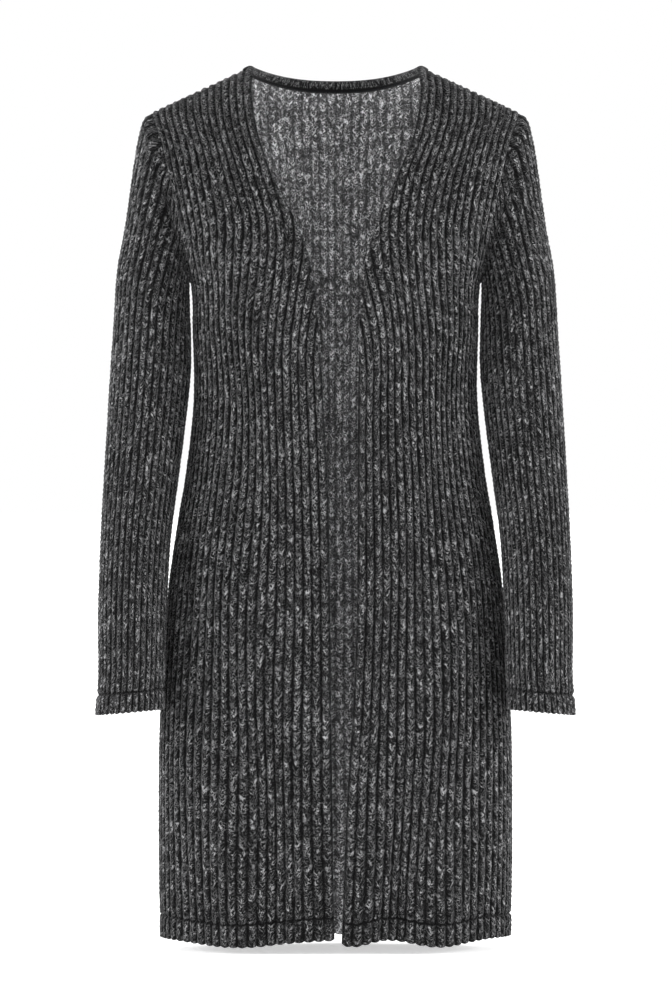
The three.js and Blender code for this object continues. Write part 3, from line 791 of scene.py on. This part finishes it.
def sleeve_cloth(hand, step):
    """A sleeve's cloth, from the cuff up to the armhole seam."""
    name = "front_left" if hand > 0 else "front_right"
    places = rib_places(RIBS_SLEEVE, PLAIN_COLUMNS)
    half = RIBS_SLEEVE / 2
    seam, seam_normals = np.zeros((len(places), 3)), np.zeros((len(places), 3))
    forward = places <= half
    seam[forward], seam_normals[forward] = along_path(
        *armhole_path(name, hand, step), places[forward] / half
    )
    seam[~forward], seam_normals[~forward] = along_path(
        *armhole_path("back", hand, step), 2 - places[~forward] / half
    )
    seam[-1], seam_normals[-1] = seam[0], seam_normals[0]
    even_turn = 2 * np.pi * places / RIBS_SLEEVE
    rings = [seam]
    for out_x, out_z, in_x, in_z, depth, ahead, slide in zip(*SLEEVE.values(), SLEEVE_SLIDE):
        turn = even_turn + 2 * np.pi * slide / RIBS_SLEEVE * np.sin(even_turn)
        x = (out_x + in_x) / 2 + (out_x - in_x) / 2 * np.cos(turn)
        z = (out_z + in_z) / 2 + (out_z - in_z) / 2 * np.cos(turn)
        rings.append(np.stack([hand * x, -ahead - depth * np.sin(turn), z], axis=1))
    rings = np.array(rings)
    steps = np.linalg.norm(np.diff(rings, axis=0), axis=2).mean(axis=1)
    reach = np.concatenate([[0], np.cumsum(steps)])
    cap, arm = np.linspace(0, reach[2], CAP_POINTS), np.linspace(reach[2], reach[-1], ARM_POINTS)
    fine = np.concatenate([cap, arm[1:]])
    flat = rings.reshape(len(rings), -1)
    curve = np.stack([at({"z": reach, "v": flat[:, k]}, "v", fine) for k in range(flat.shape[1])], 1)
    curve = curve.reshape(len(fine), len(places), 3)[::-1].copy()
    curve[0, :, 2] -= HEM_SCALLOP * np.sin(np.pi * (places % 1))
    order = range(len(places)) if hand < 0 else range(len(places) - 1, -1, -1)
    lines = [curve[:, c] for c in order]
    cloth = Cloth(lines, places, step, closed=True)
    normals = cloth.normals()
    for c, old in enumerate(order):
        normals[cloth.ids[c][-1]] = seam_normals[old]
    return cloth, normals


def band_rings():
    """Sections of the band along the back neck edge, each a closed ring of points."""
    x = np.linspace(-BACK_NECK_HALF, BACK_NECK_HALF, BAND_SECTIONS)
    beside = np.abs(x) / BACK_NECK_HALF
    low_z = back_top_z(np.abs(x) - NUDGE)
    low = np.stack([x, depth_at("back", np.abs(x), low_z) + SEAM_GAP / 2, low_z], 1)
    high_x = x * BAND_HALF / BACK_NECK_HALF
    high_z = mix(BAND_MIDDLE_Z, BAND_SIDE_Z, beside**BACK_NECK_CURVE)
    high = np.stack([high_x, depth_at("back", np.abs(high_x), high_z) + SEAM_GAP / 2, high_z], 1)
    up = high - low
    along = np.gradient(low, axis=0)
    out = unit(np.cross(along, up))
    out[out[:, 1] < 0] *= -1
    places = zip(BAND_OUTLINE["up"], BAND_OUTLINE["out"])
    return np.stack([low + up * a + out * b * BAND_THICKNESS for a, b in places], axis=1)


class Field:
    """A value on its way through a material, which takes part in Python expressions."""

    def __init__(self, finish, socket):
        self.finish, self.socket = finish, socket

    def __add__(self, other):
        return self.finish.maths("ADD", self, other)

    def __sub__(self, other):
        return self.finish.maths("SUBTRACT", self, other)

    def __rsub__(self, other):
        return self.finish.maths("SUBTRACT", other, self)

    def __mul__(self, other):
        return self.finish.maths("MULTIPLY", self, other)

    __radd__ = __add__
    __rmul__ = __mul__

    def __abs__(self):
        return self.finish.maths("ABSOLUTE", self)

    def floor(self):
        return self.finish.maths("FLOOR", self)

    def fract(self):
        return self.finish.maths("FRACT", self)

    def sine(self):
        return self.finish.maths("SINE", self)

    def between(self, low, high):
        """0 at or below low, 1 at or above high, smooth in between."""
        settings = {"interpolation_type": "SMOOTHSTEP"}
        inputs = {"Value": self, "From Min": low, "From Max": high}
        return self.finish.node("ShaderNodeMapRange", settings, inputs)["Result"]


class Finish:
    """A material that is being made."""

    def __init__(self, name):
        self.material = bpy.data.materials.new(name)
        self.material.use_nodes = True
        self.tree = self.material.node_tree
        self.tree.nodes.clear()

    def node(self, kind, settings=None, inputs=None):
        """Adds a node; inputs are values or links by socket name or number. Gives its outputs."""
        made = self.tree.nodes.new(kind)
        for key, value in (settings or {}).items():
            if key == "stops":
                self.set_stops(made.color_ramp, value)
            else:
                setattr(made, key, value)
        for key, value in (inputs or {}).items():
            socket = made.inputs[key]
            if isinstance(value, Field):
                self.tree.links.new(value.socket, socket)
            else:
                socket.default_value = value
        return {socket.name: Field(self, socket) for socket in reversed(made.outputs)}

    def maths(self, operation, *values):
        inputs = dict(enumerate(values))
        return self.node("ShaderNodeMath", {"operation": operation}, inputs)["Value"]

    def vector(self, x, y, z):
        return self.node("ShaderNodeCombineXYZ", None, {"X": x, "Y": y, "Z": z})["Vector"]

    def noise(self, x, y, seed, detail=1.0, roughness=0.5):
        """Soft random values around a half, which change over one unit of x and y."""
        vector = self.vector(x, y, seed)
        inputs = {"Vector": vector, "Scale": 1.0, "Detail": detail, "Roughness": roughness}
        return self.node("ShaderNodeTexNoise", {"noise_dimensions": "3D"}, inputs)["Fac"]

    def chance(self, x, y, seed):
        """One random value from 0 to 1 for each pair of whole numbers."""
        inputs = {"Vector": self.vector(x, y, seed)}
        return self.node("ShaderNodeTexWhiteNoise", {"noise_dimensions": "3D"}, inputs)["Value"]

    def knit_map(self):
        """The UV map's two directions: across the ribs and along them."""
        place = self.node("ShaderNodeUVMap", {"uv_map": "knit"})["UV"]
        parts = self.node("ShaderNodeSeparateXYZ", None, {"Vector": place})
        return parts["X"], parts["Y"]

    def set_stops(self, band, stops):
        """Gives a ramp its stops: places from 0 to 1 and RGB colours."""
        while len(band.elements) < len(stops):
            band.elements.new(0.5)
        for element, (place, colour) in zip(band.elements, stops):
            element.position = place
            element.color = (*colour, 1)

    def ramp(self, value, stops):
        return self.node("ShaderNodeValToRGB", {"stops": stops}, {"Fac": value})["Color"]

    def close(self, colour, height, bump, sheen):
        """Ends the material in a rough, slightly hairy cloth."""
        depth = {"Strength": 1.0, "Distance": bump, "Height": height}
        normal = self.node("ShaderNodeBump", None, depth)["Normal"]
        inputs = {
            "Base Color": colour,
            "Roughness": CLOTH_ROUGHNESS,
            "Normal": normal,
            "Sheen Weight": sheen,
            "Sheen Roughness": SHEEN_ROUGHNESS,
            "Sheen Tint": SHEEN_TINT,
            "Specular IOR Level": CLOTH_SPECULAR,
        }
        cloth = self.node("ShaderNodeBsdfPrincipled", None, inputs)["BSDF"]
        self.node("ShaderNodeOutputMaterial", None, {"Surface": cloth})
        return self.material


def tones(dark, light, middle=0.16, bright=0.5):
    """Greys from the painted shade in the furrows to the brightest hairs, between a dark strand's and a light
    one's.
    """
    low, high = sum(dark) / 3, sum(light) / 3
    return (low * 0.35, low, mix(low, high, middle), mix(low, high, bright), high)


def marl_knit(name, greys, seed, lean, furrow, grain, turn=None):
    """A chunky rib in marled yarn, on the UV map: one unit across is a rib, one along is a course.

    greys go from the painted shade in the furrows to the brightest hairs, lean is how far the legs of a
    stitch slant, furrow how dark the painted shade in the furrows is, grain how fine the strands are,
    and turn the course at which a line of stitches holds the turned edge.
    """
    made = Finish(name)
    rib, course = made.knit_map()

    # Each rib has two columns of slanting legs, and each leg its own lightness.
    wobble = made.noise(rib * 1.1, course * 0.55, seed + 2.2) - 0.5
    shifted = rib + wobble * 0.26
    across = abs(shifted.fract() - 0.5) * 2
    slant = course - across * lean + wobble * 0.7
    loop = made.chance((shifted * 2).floor(), slant.floor(), seed)
    ridge = (slant.fract() * np.pi).sine()

    # Light strands curl along the lines where a noise passes its middle, and each breaks off in places.
    curls = made.noise(rib * 1.9 * grain, slant * 0.95 * grain, seed + 7.9, 1.5, 0.55)
    other = made.noise(rib * 2.5 * grain + 40, course * 1.3 * grain, seed + 1.3, 1.5, 0.55)
    curl_line = 1 - abs(curls - 0.5).between(0.03, 0.1)
    other_line = 1 - abs(other - 0.52).between(0.02, 0.08)
    broken = made.noise(rib * 1.3, course * 0.8, seed + 5.1)
    strands = curl_line * broken.between(0.42, 0.6) + other_line * (1 - broken.between(0.38, 0.54))

    # Fine hairs, slow changes over the cloth, and painted shade in the furrows, darker in some patches.
    hair = made.noise(rib * 8, course * 4, seed + 9.1, 2.0, 0.75)
    cloud = made.noise(rib * 0.21, course * 0.09, seed + 5.5, 2.0)
    patchy = made.noise(rib * 0.9, course * 0.3, seed + 6.6)
    furrow_bump_and_shade = across.between(0.42, 0.88) * (0.55 + patchy.between(0.35, 0.6) * 0.45)

    # Painted shade: each leg is lighter in its middle and darker where it meets the next stitch, and the
    # furrows are darkened.
    tone = strands * (0.3 + loop * 0.5) + ridge * loop * 0.14 + hair.between(0.4, 0.72) * 0.26
    tone = (tone + (cloud - 0.5) * 0.22) * (1 - furrow_bump_and_shade * furrow)
    height = ridge * 0.3 + strands * 0.45 + hair * 0.3 - furrow_bump_and_shade * 0.6
    if turn:
        # Painted shade along the sewn line, where the cloth also dips.
        sewn = 1 - abs(course - turn + wobble * 0.3).between(0.08, 0.42)
        tone = tone * (1 - sewn * 0.8)
        height = height - sewn * 0.7
    stops = [(share, (grey, grey, grey * BLUE_TINT)) for share, grey in zip(GREY_PLACES, greys)]
    return made.close(made.ramp(tone, stops), height, MARL_BUMP, MARL_SHEEN)


def plain_knit(name, dark, light, seed):
    """A firm fine knit, on the UV map: one unit is a stitch both ways."""
    made = Finish(name)
    wale, course = made.knit_map()
    across = abs(wale.fract() - 0.5) * 2
    slant = course - across * 0.6
    ridge = (slant.fract() * np.pi).sine() * (1 - across.between(0.7, 1.0))
    loop = made.chance((wale * 2).floor(), slant.floor(), seed)
    hair = made.noise(wale * 3, course * 3, seed, 2.0)
    # Painted shade: each stitch is lighter in its middle, darker at its ends and between the wales.
    tone = ridge * 0.2 + (loop * 1.2 - 0.45) * 0.5 + hair.between(0.4, 0.7) * 0.4
    # Painted shadow: the band's colour darkens over these rows towards its lower edge.
    tone = tone * (1 - course.between(*BAND_PAINTED_SHADOW) * 0.85)
    colour = made.ramp(tone, [(0.0, dark), (0.35, dark), (1.0, light)])
    return made.close(colour, ridge + hair * 0.3, BAND_BUMP, BAND_SHEEN)


class CardiganKnit(bpy.types.PropertyGroup):
    """Sizes of the knit, in millimetres."""

    course: FloatProperty(
        name="Course",
        description="Height of one stitch along a rib, in millimetres",
        default=4.9,
        min=2,
        max=8,
    )
    rib_rise: FloatProperty(
        name="Rib rise",
        description="How far a rib stands over its furrows, in millimetres",
        default=2.3,
        min=0.5,
        max=4,
    )
    furrow_wall: FloatProperty(
        name="Furrow wall",
        description="Thickness of the cloth in a furrow, in millimetres",
        default=1.5,
        min=0.8,
        max=3,
    )
    stitch_rise: FloatProperty(
        name="Stitch rise",
        description="How far single stitches rise and sink, in millimetres",
        default=0.3,
        min=0,
        max=1,
    )


def strand_colour(name, description, default):
    """A colour to choose in the panel."""
    return FloatVectorProperty(
        name=name, description=description, default=default, subtype="COLOR", min=0, max=1
    )


class CardiganYarn(bpy.types.PropertyGroup):
    """Colours of the yarns."""

    body_dark: strand_colour(
        "Body, dark strands",
        "The charcoal strands of the fronts and the back",
        (0.007, 0.007, 0.0074),
    )
    body_light: strand_colour(
        "Body, light flecks",
        "The light grey flecks of the fronts and the back",
        (0.245, 0.245, 0.249),
    )
    inside_dark: strand_colour(
        "Inside, dark strands",
        "The darker strands of the inner face",
        (0.1, 0.1, 0.102),
    )
    inside_light: strand_colour(
        "Inside, light strands",
        "The lighter strands of the inner face",
        (1.0, 1.0, 1.0),
    )
    band_dark: strand_colour(
        "Neck band, dark",
        "The darker stitches of the neck band",
        (0.01, 0.01, 0.0105),
    )
    band_light: strand_colour(
        "Neck band, light",
        "The lighter stitches of the neck band",
        (0.42, 0.42, 0.424),
    )


class CardiganStudio(bpy.types.PropertyGroup):
    """The camera and the light."""

    distance: FloatProperty(
        name="Camera distance",
        description="From the camera to the middle of the cardigan",
        default=8.6,
        unit="LENGTH",
    )
    height_in_view: FloatProperty(
        name="Height in view",
        description="What the picture's height covers at the cardigan",
        default=1.028,
        unit="LENGTH",
    )
    key_power: FloatProperty(
        name="Key light",
        description="Power of the light beside the camera",
        default=36,
        unit="POWER",
    )
    side_power: FloatProperty(
        name="Side lights",
        description="Power of each light beside the cardigan",
        default=140,
        unit="POWER",
    )
    floor_gap: FloatProperty(
        name="Floor gap",
        description="From the lowest point of the hem down to the floor",
        default=0.006,
        unit="LENGTH",
    )
    sky: FloatProperty(
        name="Even light",
        description="Strength of the light from all round",
        default=1.0,
    )


def settings():
    scene = bpy.context.scene
    return scene.cardigan_knit, scene.cardigan_yarn, scene.cardigan_studio


def outside_finish(name, seed, turn):
    """The outer face's marl, which is sewn down along a course."""
    yarn = settings()[1]
    return marl_knit(name, tones(yarn.body_dark, yarn.body_light), seed, turn=turn, **OUTER_MARL)


def inside_finish():
    """The inner face's lighter marl, made once."""
    found = bpy.data.materials.get("knit_inside")
    if found:
        return found
    yarn = settings()[1]
    greys = tones(yarn.inside_dark, yarn.inside_light, 0.3, 0.85)
    return marl_knit("knit_inside", greys, 21.0, **INNER_MARL)


def finish_piece(piece, outside, node):
    """Gives a knitted piece its two faces, fixes it to the root body and hides the solid part it stands for.
    """
    piece.data.materials.append(outside)
    piece.data.materials.append(inside_finish())
    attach(piece, "root")
    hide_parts(node)


class CARDIGAN_OT_fronts(bpy.types.Operator):
    """Knits the two fronts"""

    bl_idname = "cardigan.fronts"
    bl_label = "Fronts"

    def execute(self, context):
        knit = settings()[0]
        outside = outside_finish("rib_front", 1.0, HEM_TURN_COURSES)
        for name, seed in (("front_right", 11), ("front_left", 12)):
            cloth, normals, _ = panel_cloth(name, knit.course / 2)
            height = stitch_relief(cloth, knit, seed, HEM_TURN_COURSES)
            piece = knit_mesh(name + "_knit", cloth, normals, height, 3, knit.course)
            finish_piece(piece, outside, name)
        return {"FINISHED"}


class CARDIGAN_OT_back(bpy.types.Operator):
    """Knits the back"""

    bl_idname = "cardigan.back"
    bl_label = "Back"

    def execute(self, context):
        knit = settings()[0]
        outside = outside_finish("rib_back", 2.0, HEM_TURN_COURSES)
        cloth, normals, _ = panel_cloth("back", knit.course / 2)
        height = stitch_relief(cloth, knit, 13, HEM_TURN_COURSES)
        piece = knit_mesh("back_knit", cloth, normals, height, 2, knit.course)
        finish_piece(piece, outside, "back")
        return {"FINISHED"}


class CARDIGAN_OT_sleeves(bpy.types.Operator):
    """Knits the two sleeves"""

    bl_idname = "cardigan.sleeves"
    bl_label = "Sleeves"

    def execute(self, context):
        knit = settings()[0]
        outside = outside_finish("rib_sleeve", 3.0, CUFF_TURN_COURSES)
        for name, front, hand, seed in (
            ("sleeve_right", "front_right", -1, 14),
            ("sleeve_left", "front_left", 1, 15),
        ):
            cloth, normals = sleeve_cloth(hand, knit.course / 2)
            height = stitch_relief(cloth, knit, seed, CUFF_TURN_COURSES)
            piece = knit_mesh(name + "_knit", cloth, normals, height, 2, knit.course)
            finish_piece(piece, outside, name)
        return {"FINISHED"}


class CARDIGAN_OT_neck_band(bpy.types.Operator):
    """Knits the band round the back of the neck"""

    bl_idname = "cardigan.neck_band"
    bl_label = "Neck band"

    def execute(self, context):
        yarn = settings()[1]
        rings = band_rings()
        count, around = rings.shape[:2]
        ids = np.arange(count * around).reshape(count, around)
        following = np.roll(ids, -1, axis=1)
        a, b, c, d = ids[:-1], ids[1:], following[1:], following[:-1]
        wall = np.concatenate([np.stack([a, d, c], -1), np.stack([a, c, b], -1)]).reshape(-1, 3)
        first, last = count * around, count * around + 1
        first_end = [[first, following[0, k], ids[0, k]] for k in range(around)]
        last_end = [[last, ids[-1, k], following[-1, k]] for k in range(around)]
        faces = np.concatenate([wall, first_end, last_end])
        ends = [rings[0].mean(axis=0), rings[-1].mean(axis=0)]
        points = np.concatenate([rings.reshape(-1, 3), ends])
        wales = arc_lengths(rings[:, 0])[:, None] / BAND_STITCH
        courses = np.arange(around)[None] * BAND_GIRTH_STEP / BAND_STITCH
        uv = np.stack(np.broadcast_arrays(wales, courses), -1).reshape(-1, 2)
        uv = np.concatenate([uv, [[0, 0], [0, 0]]])
        piece = make_object("neck_band_knit", points, faces, uv[faces], np.zeros(len(faces), int))
        piece.data.materials.append(plain_knit("band_knit", yarn.band_dark, yarn.band_light, 4.0))
        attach(piece, "root")
        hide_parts("neck_band")
        return {"FINISHED"}


class CARDIGAN_OT_studio(bpy.types.Operator):
    """Sets the floor, the light and the camera"""

    bl_idname = "cardigan.studio"
    bl_label = "Studio"

    def execute(self, context):
        studio = settings()[2]
        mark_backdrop(self.floor(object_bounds()[0].z - studio.floor_gap))
        middle = Vector(VIEW_MIDDLE)
        x, y, z = SIDE_PLACE
        self.light("key", KEY_PLACE, middle, KEY_WIDTH, studio.key_power)
        self.light("side_right", (-x, y, z), middle, SIDE_WIDTH, studio.side_power)
        self.light("side_left", (x, y, z), middle, SIDE_WIDTH, studio.side_power)
        world = bpy.data.worlds.new("even_light")
        world.use_nodes = True
        sky = world.node_tree.nodes["Background"]
        sky.inputs["Color"].default_value = WHITE
        sky.inputs["Strength"].default_value = studio.sky
        context.scene.world = world
        camera = bpy.data.cameras.new("camera")
        camera.sensor_fit = "VERTICAL"
        camera.sensor_height = SENSOR_HEIGHT
        camera.lens = SENSOR_HEIGHT * studio.distance / studio.height_in_view
        camera.clip_end = FAR_SIGHT
        eye = bpy.data.objects.new("camera", camera)
        eye.location = middle - Vector((0, studio.distance, 0))
        eye.rotation_euler = (np.pi / 2, 0, 0)
        context.scene.collection.objects.link(eye)
        context.scene.camera = eye
        context.scene.view_settings.view_transform = "Standard"
        return {"FINISHED"}

    def floor(self, level):
        bpy.ops.object.select_all(action="DESELECT")
        bpy.ops.mesh.primitive_circle_add(
            vertices=96, radius=FLOOR_RADIUS, fill_type="NGON", location=(0, 0, level)
        )
        floor = bpy.context.object
        floor.name = "floor"
        made = Finish("pale_floor")
        inputs = {
            "Base Color": WHITE,
            "Roughness": 1.0,
            "Specular IOR Level": 0.0,
            "Emission Color": WHITE,
            "Emission Strength": FLOOR_GLOW,
        }
        surface = made.node("ShaderNodeBsdfPrincipled", None, inputs)["BSDF"]
        made.node("ShaderNodeOutputMaterial", None, {"Surface": surface})
        floor.data.materials.append(made.material)
        return floor

    def light(self, name, place, target, size, power):
        data = bpy.data.lights.new(name, "AREA")
        data.shape = "DISK"
        data.size = size
        data.energy = power
        lamp = bpy.data.objects.new(name, data)
        lamp.location = place
        lamp.rotation_euler = (target - Vector(place)).to_track_quat("-Z", "Y").to_euler()
        bpy.context.scene.collection.objects.link(lamp)


class CARDIGAN_PT_panel(bpy.types.Panel):
    """Lists the cardigan's pieces and sizes"""

    bl_label = "Cardigan"
    bl_idname = "CARDIGAN_PT_panel"
    bl_space_type = "VIEW_3D"
    bl_region_type = "UI"
    bl_category = "Cardigan"

    def draw(self, context):
        layout = self.layout
        for group in settings():
            box = layout.box()
            for key in group.__annotations__:
                box.prop(group, key)
        for piece in PIECES:
            layout.operator(piece.bl_idname)


PIECES = (
    CARDIGAN_OT_fronts,
    CARDIGAN_OT_back,
    CARDIGAN_OT_sleeves,
    CARDIGAN_OT_neck_band,
    CARDIGAN_OT_studio,
)
GROUPS = {
    "cardigan_knit": CardiganKnit,
    "cardigan_yarn": CardiganYarn,
    "cardigan_studio": CardiganStudio,
}


def register():
    for made in (*GROUPS.values(), *PIECES, CARDIGAN_PT_panel):
        bpy.utils.register_class(made)
    for name, group in GROUPS.items():
        setattr(bpy.types.Scene, name, PointerProperty(type=group))


def unregister():
    for name in GROUPS:
        delattr(bpy.types.Scene, name)
    for made in reversed((*GROUPS.values(), *PIECES, CARDIGAN_PT_panel)):
        bpy.utils.unregister_class(made)


def main():
    register()
    bpy.ops.cardigan.fronts()
    bpy.ops.cardigan.back()
    bpy.ops.cardigan.sleeves()
    bpy.ops.cardigan.neck_band()
    bpy.ops.cardigan.studio()


if __name__ == "__main__":
    main()
